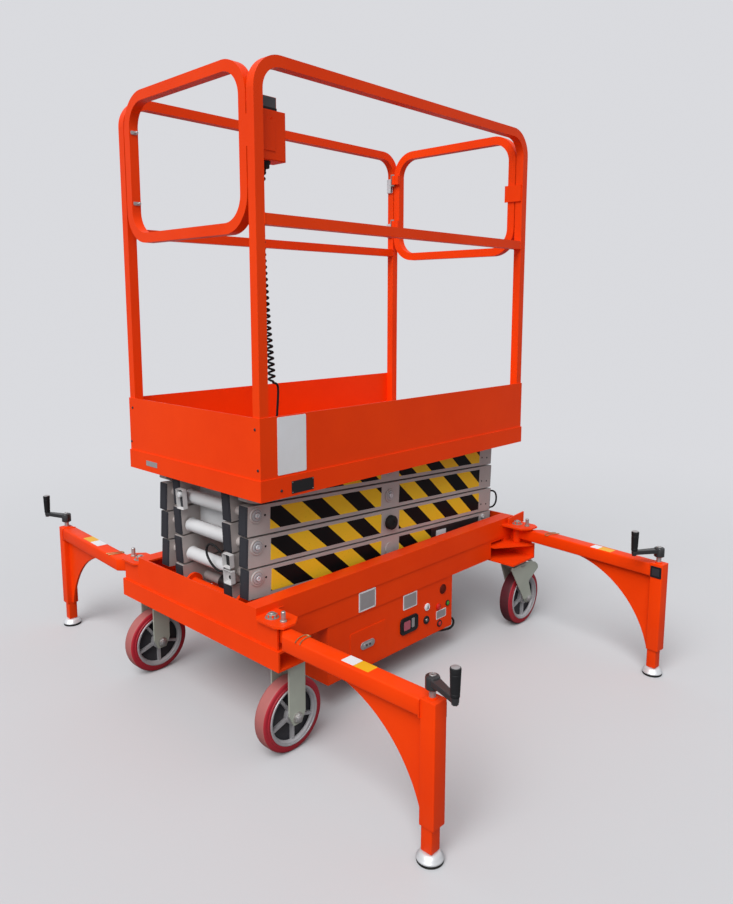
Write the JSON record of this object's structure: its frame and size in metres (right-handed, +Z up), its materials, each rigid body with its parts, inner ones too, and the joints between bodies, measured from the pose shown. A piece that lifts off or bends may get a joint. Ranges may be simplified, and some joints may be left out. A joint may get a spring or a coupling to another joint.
{
  "type": "mobile scissor lift with swing-out outriggers",
  "caption": "Push-around scissor lift: orange guarded platform on a four-level scissor stack, caster chassis and screw-jack outriggers.",
  "frame": {"origin": "on the floor under the middle of the overall box", "axes": "+X along the long side toward the gate, +Y to the left of that, +Z up"},
  "size_m": [1.4594, 2.0781, 1.915],
  "materials": {
    "orange_paint": "gloss",
    "arm_paint": "satin",
    "steel": "satin",
    "zinc": "satin",
    "cast_hub": "matte",
    "red_tread": "matte",
    "black_rubber": "matte",
    "black_paint": "satin",
    "black_plastic": "matte",
    "chrome": "polished"
  },
  "bodies": {
    "root": {"chassis_frame": "orange_paint", "outrigger_brackets": "orange_paint", "base_pivot": "steel", "power_cabinet": "orange_paint", "battery_block": "black_plastic", "rear_forks": "zinc", "swivel_plates": "zinc"},
    "platform": {"deck_frame": "orange_paint", "deck_pivot": "steel", "toe_boards": "orange_paint", "guard_rail_right": "orange_paint", "guard_rail_left": "orange_paint", "rear_loop": "orange_paint", "gate_hinges": "zinc", "control_box": "orange_paint", "cord_coil": "black_rubber", "cord_tail": "black_rubber"},
    "gate": {"gate": "orange_paint"},
    "barrel": {"cylinder_barrel": "black_paint"},
    "ram": {"cylinder_rod": "chrome"},
    "rear_right_wheel": {"rear_right_wheel_tread": "red_tread", "rear_right_wheel_hub": "cast_hub"},
    "rear_left_wheel": {"rear_left_wheel_tread": "red_tread", "rear_left_wheel_hub": "cast_hub"},
    "front_right_wheel": {"front_right_wheel_tread": "red_tread", "front_right_wheel_hub": "cast_hub"},
    "front_left_wheel": {"front_left_wheel_tread": "red_tread", "front_left_wheel_hub": "cast_hub"},
    "front_right_fork": {"front_right_fork": "zinc"},
    "front_left_fork": {"front_left_fork": "zinc"},
    "rear_right_outrigger": {"rear_right_outrigger": "orange_paint"},
    "rear_right_jack": {"rear_right_jack_tube": "orange_paint", "rear_right_foot": "zinc", "rear_right_foot_pad": "black_rubber"},
    "rear_right_crank": {"rear_right_crank": "black_paint"},
    "front_right_outrigger": {"front_right_outrigger": "orange_paint"},
    "front_right_jack": {"front_right_jack_tube": "orange_paint", "front_right_foot": "zinc", "front_right_foot_pad": "black_rubber"},
    "front_right_crank": {"front_right_crank": "black_paint"},
    "rear_left_outrigger": {"rear_left_outrigger": "orange_paint"},
    "rear_left_jack": {"rear_left_jack_tube": "orange_paint", "rear_left_foot": "zinc", "rear_left_foot_pad": "black_rubber"},
    "rear_left_crank": {"rear_left_crank": "black_paint"},
    "front_left_outrigger": {"front_left_outrigger": "orange_paint"},
    "front_left_jack": {"front_left_jack_tube": "orange_paint", "front_left_foot": "zinc", "front_left_foot_pad": "black_rubber"},
    "front_left_crank": {"front_left_crank": "black_paint"},
    "outer_1": {"outer_arms_1": "arm_paint"},
    "inner_1": {"inner_arms_1": "arm_paint"},
    "outer_2": {"outer_arms_2": "arm_paint"},
    "inner_2": {"inner_arms_2": "arm_paint"},
    "outer_3": {"outer_arms_3": "arm_paint"},
    "inner_3": {"inner_arms_3": "arm_paint"},
    "outer_4": {"outer_arms_4": "arm_paint"},
    "inner_4": {"inner_arms_4": "arm_paint"}
  },
  "joints": [
    {"name": "rear_right_wheel_spin", "type": "hinge", "parent": "root", "child": "rear_right_wheel", "pos_m": [-0.61027, -0.356, 0.11], "axis": [0, 1, 0], "continuous": true},
    {"name": "front_right_swivel", "type": "hinge", "parent": "root", "child": "front_right_fork", "pos_m": [0.57173, -0.356, 0.27], "axis": [0, 0, 1], "continuous": true},
    {"name": "front_right_wheel_spin", "type": "hinge", "parent": "front_right_fork", "child": "front_right_wheel", "pos_m": [0.61973, -0.356, 0.11], "axis": [0, 1, 0], "continuous": true},
    {"name": "rear_left_wheel_spin", "type": "hinge", "parent": "root", "child": "rear_left_wheel", "pos_m": [-0.61027, 0.356, 0.11], "axis": [0, 1, 0], "continuous": true},
    {"name": "front_left_swivel", "type": "hinge", "parent": "root", "child": "front_left_fork", "pos_m": [0.57173, 0.356, 0.27], "axis": [0, 0, 1], "continuous": true},
    {"name": "front_left_wheel_spin", "type": "hinge", "parent": "front_left_fork", "child": "front_left_wheel", "pos_m": [0.61973, 0.356, 0.11], "axis": [0, 1, 0], "continuous": true},
    {"name": "rear_right_swing", "type": "hinge", "parent": "root", "child": "rear_right_outrigger", "pos_m": [-0.66127, -0.352, 0.37], "axis": [0, 0, 1], "range_deg": [0, 90]},
    {"name": "rear_right_jack_crank", "type": "hinge", "parent": "rear_right_outrigger", "child": "rear_right_crank", "pos_m": [-0.68177, -0.938, 0.45], "axis": [0, 0, 1], "range_deg": [-3600, 1800]},
    {"name": "rear_right_jack_slide", "type": "slide", "parent": "rear_right_outrigger", "child": "rear_right_jack", "axis": [0, 0, 1], "range_m": [-0.0601, 0.0301]},
    {"name": "front_right_swing", "type": "hinge", "parent": "root", "child": "front_right_outrigger", "pos_m": [0.59673, -0.352, 0.37], "axis": [0, 0, -1], "range_deg": [0, 84.5]},
    {"name": "front_right_jack_crank", "type": "hinge", "parent": "front_right_outrigger", "child": "front_right_crank", "pos_m": [0.56097, -0.93727, 0.45], "axis": [0, 0, 1], "range_deg": [-3600, 1800]},
    {"name": "front_right_jack_slide", "type": "slide", "parent": "front_right_outrigger", "child": "front_right_jack", "axis": [0, 0, 1], "range_m": [-0.0601, 0.0301]},
    {"name": "rear_left_swing", "type": "hinge", "parent": "root", "child": "rear_left_outrigger", "pos_m": [-0.66127, 0.352, 0.37], "axis": [0, 0, -1], "range_deg": [0, 86.2]},
    {"name": "rear_left_jack_crank", "type": "hinge", "parent": "rear_left_outrigger", "child": "rear_left_crank", "pos_m": [-0.64289, 0.93807, 0.45], "axis": [0, 0, 1], "range_deg": [-3600, 1800]},
    {"name": "rear_left_jack_slide", "type": "slide", "parent": "rear_left_outrigger", "child": "rear_left_jack", "axis": [0, 0, 1], "range_m": [-0.0601, 0.0301]},
    {"name": "front_left_swing", "type": "hinge", "parent": "root", "child": "front_left_outrigger", "pos_m": [0.59673, 0.352, 0.37], "axis": [0, 0, 1], "range_deg": [0, 90]},
    {"name": "front_left_jack_crank", "type": "hinge", "parent": "front_left_outrigger", "child": "front_left_crank", "pos_m": [0.61723, 0.938, 0.45], "axis": [0, 0, 1], "range_deg": [-3600, 1800]},
    {"name": "front_left_jack_slide", "type": "slide", "parent": "front_left_outrigger", "child": "front_left_jack", "axis": [0, 0, 1], "range_m": [-0.0601, 0.0301]},
    {"name": "lift", "type": "hinge", "parent": "root", "child": "inner_1", "pos_m": [-0.61427, 0, 0.388], "axis": [0, -1, 0], "range_deg": [0, 43.5]},
    {"name": "cross_1", "type": "hinge", "parent": "inner_1", "child": "outer_1", "pos_m": [-0.03227, 0, 0.4355], "axis": [0, 1, 0], "range_deg": [0, 87.1]},
    {"name": "stack_1", "type": "hinge", "parent": "outer_1", "child": "inner_2", "pos_m": [-0.61427, 0, 0.483], "axis": [0, -1, 0], "range_deg": [0, 87.1]},
    {"name": "cross_2", "type": "hinge", "parent": "inner_2", "child": "outer_2", "pos_m": [-0.03227, 0, 0.5305], "axis": [0, 1, 0], "range_deg": [0, 87.1]},
    {"name": "stack_2", "type": "hinge", "parent": "outer_2", "child": "inner_3", "pos_m": [-0.61427, 0, 0.578], "axis": [0, -1, 0], "range_deg": [0, 87.1]},
    {"name": "cross_3", "type": "hinge", "parent": "inner_3", "child": "outer_3", "pos_m": [-0.03227, 0, 0.6255], "axis": [0, 1, 0], "range_deg": [0, 87.1]},
    {"name": "stack_3", "type": "hinge", "parent": "outer_3", "child": "inner_4", "pos_m": [-0.61427, 0, 0.673], "axis": [0, -1, 0], "range_deg": [0, 87.1]},
    {"name": "cross_4", "type": "hinge", "parent": "inner_4", "child": "outer_4", "pos_m": [-0.03227, 0, 0.7205], "axis": [0, 1, 0], "range_deg": [0, 87.1]},
    {"name": "deck_level", "type": "hinge", "parent": "outer_4", "child": "platform", "pos_m": [-0.61427, 0, 0.768], "axis": [0, -1, 0], "range_deg": [0, 43.6]},
    {"name": "barrel_swing", "type": "hinge", "parent": "inner_1", "child": "barrel", "pos_m": [-0.55447, 0, 0.39288], "axis": [0, -1, 0], "range_deg": [0, 14.23]},
    {"name": "ram_slide", "type": "slide", "parent": "barrel", "child": "ram", "axis": [0.9847, 0, 0.1742], "range_m": [0, 0.73636]},
    {"name": "gate_swing", "type": "hinge", "parent": "platform", "child": "gate", "pos_m": [0.57273, 0.295, 1.7], "axis": [0, 0, -1], "range_deg": [0, 90]}
  ],
  "couplings": [
    {"joint": "rear_right_jack_slide", "follows": "rear_right_jack_crank", "m_per_rad": 0.00095493},
    {"joint": "front_right_jack_slide", "follows": "front_right_jack_crank", "m_per_rad": 0.00095493},
    {"joint": "rear_left_jack_slide", "follows": "rear_left_jack_crank", "m_per_rad": 0.00095493},
    {"joint": "front_left_jack_slide", "follows": "front_left_jack_crank", "m_per_rad": 0.00095493},
    {"joint": "cross_1", "follows": "lift", "ratio": 2},
    {"joint": "stack_1", "follows": "lift", "ratio": 2},
    {"joint": "cross_2", "follows": "lift", "ratio": 2},
    {"joint": "stack_2", "follows": "lift", "ratio": 2},
    {"joint": "cross_3", "follows": "lift", "ratio": 2},
    {"joint": "stack_3", "follows": "lift", "ratio": 2},
    {"joint": "cross_4", "follows": "lift", "ratio": 2},
    {"joint": "deck_level", "follows": "lift", "ratio": 1},
    {"joint": "barrel_swing", "follows": "lift", "ratio": 0.32251},
    {"joint": "ram_slide", "follows": "lift", "m_per_rad": 0.96857}
  ]
}
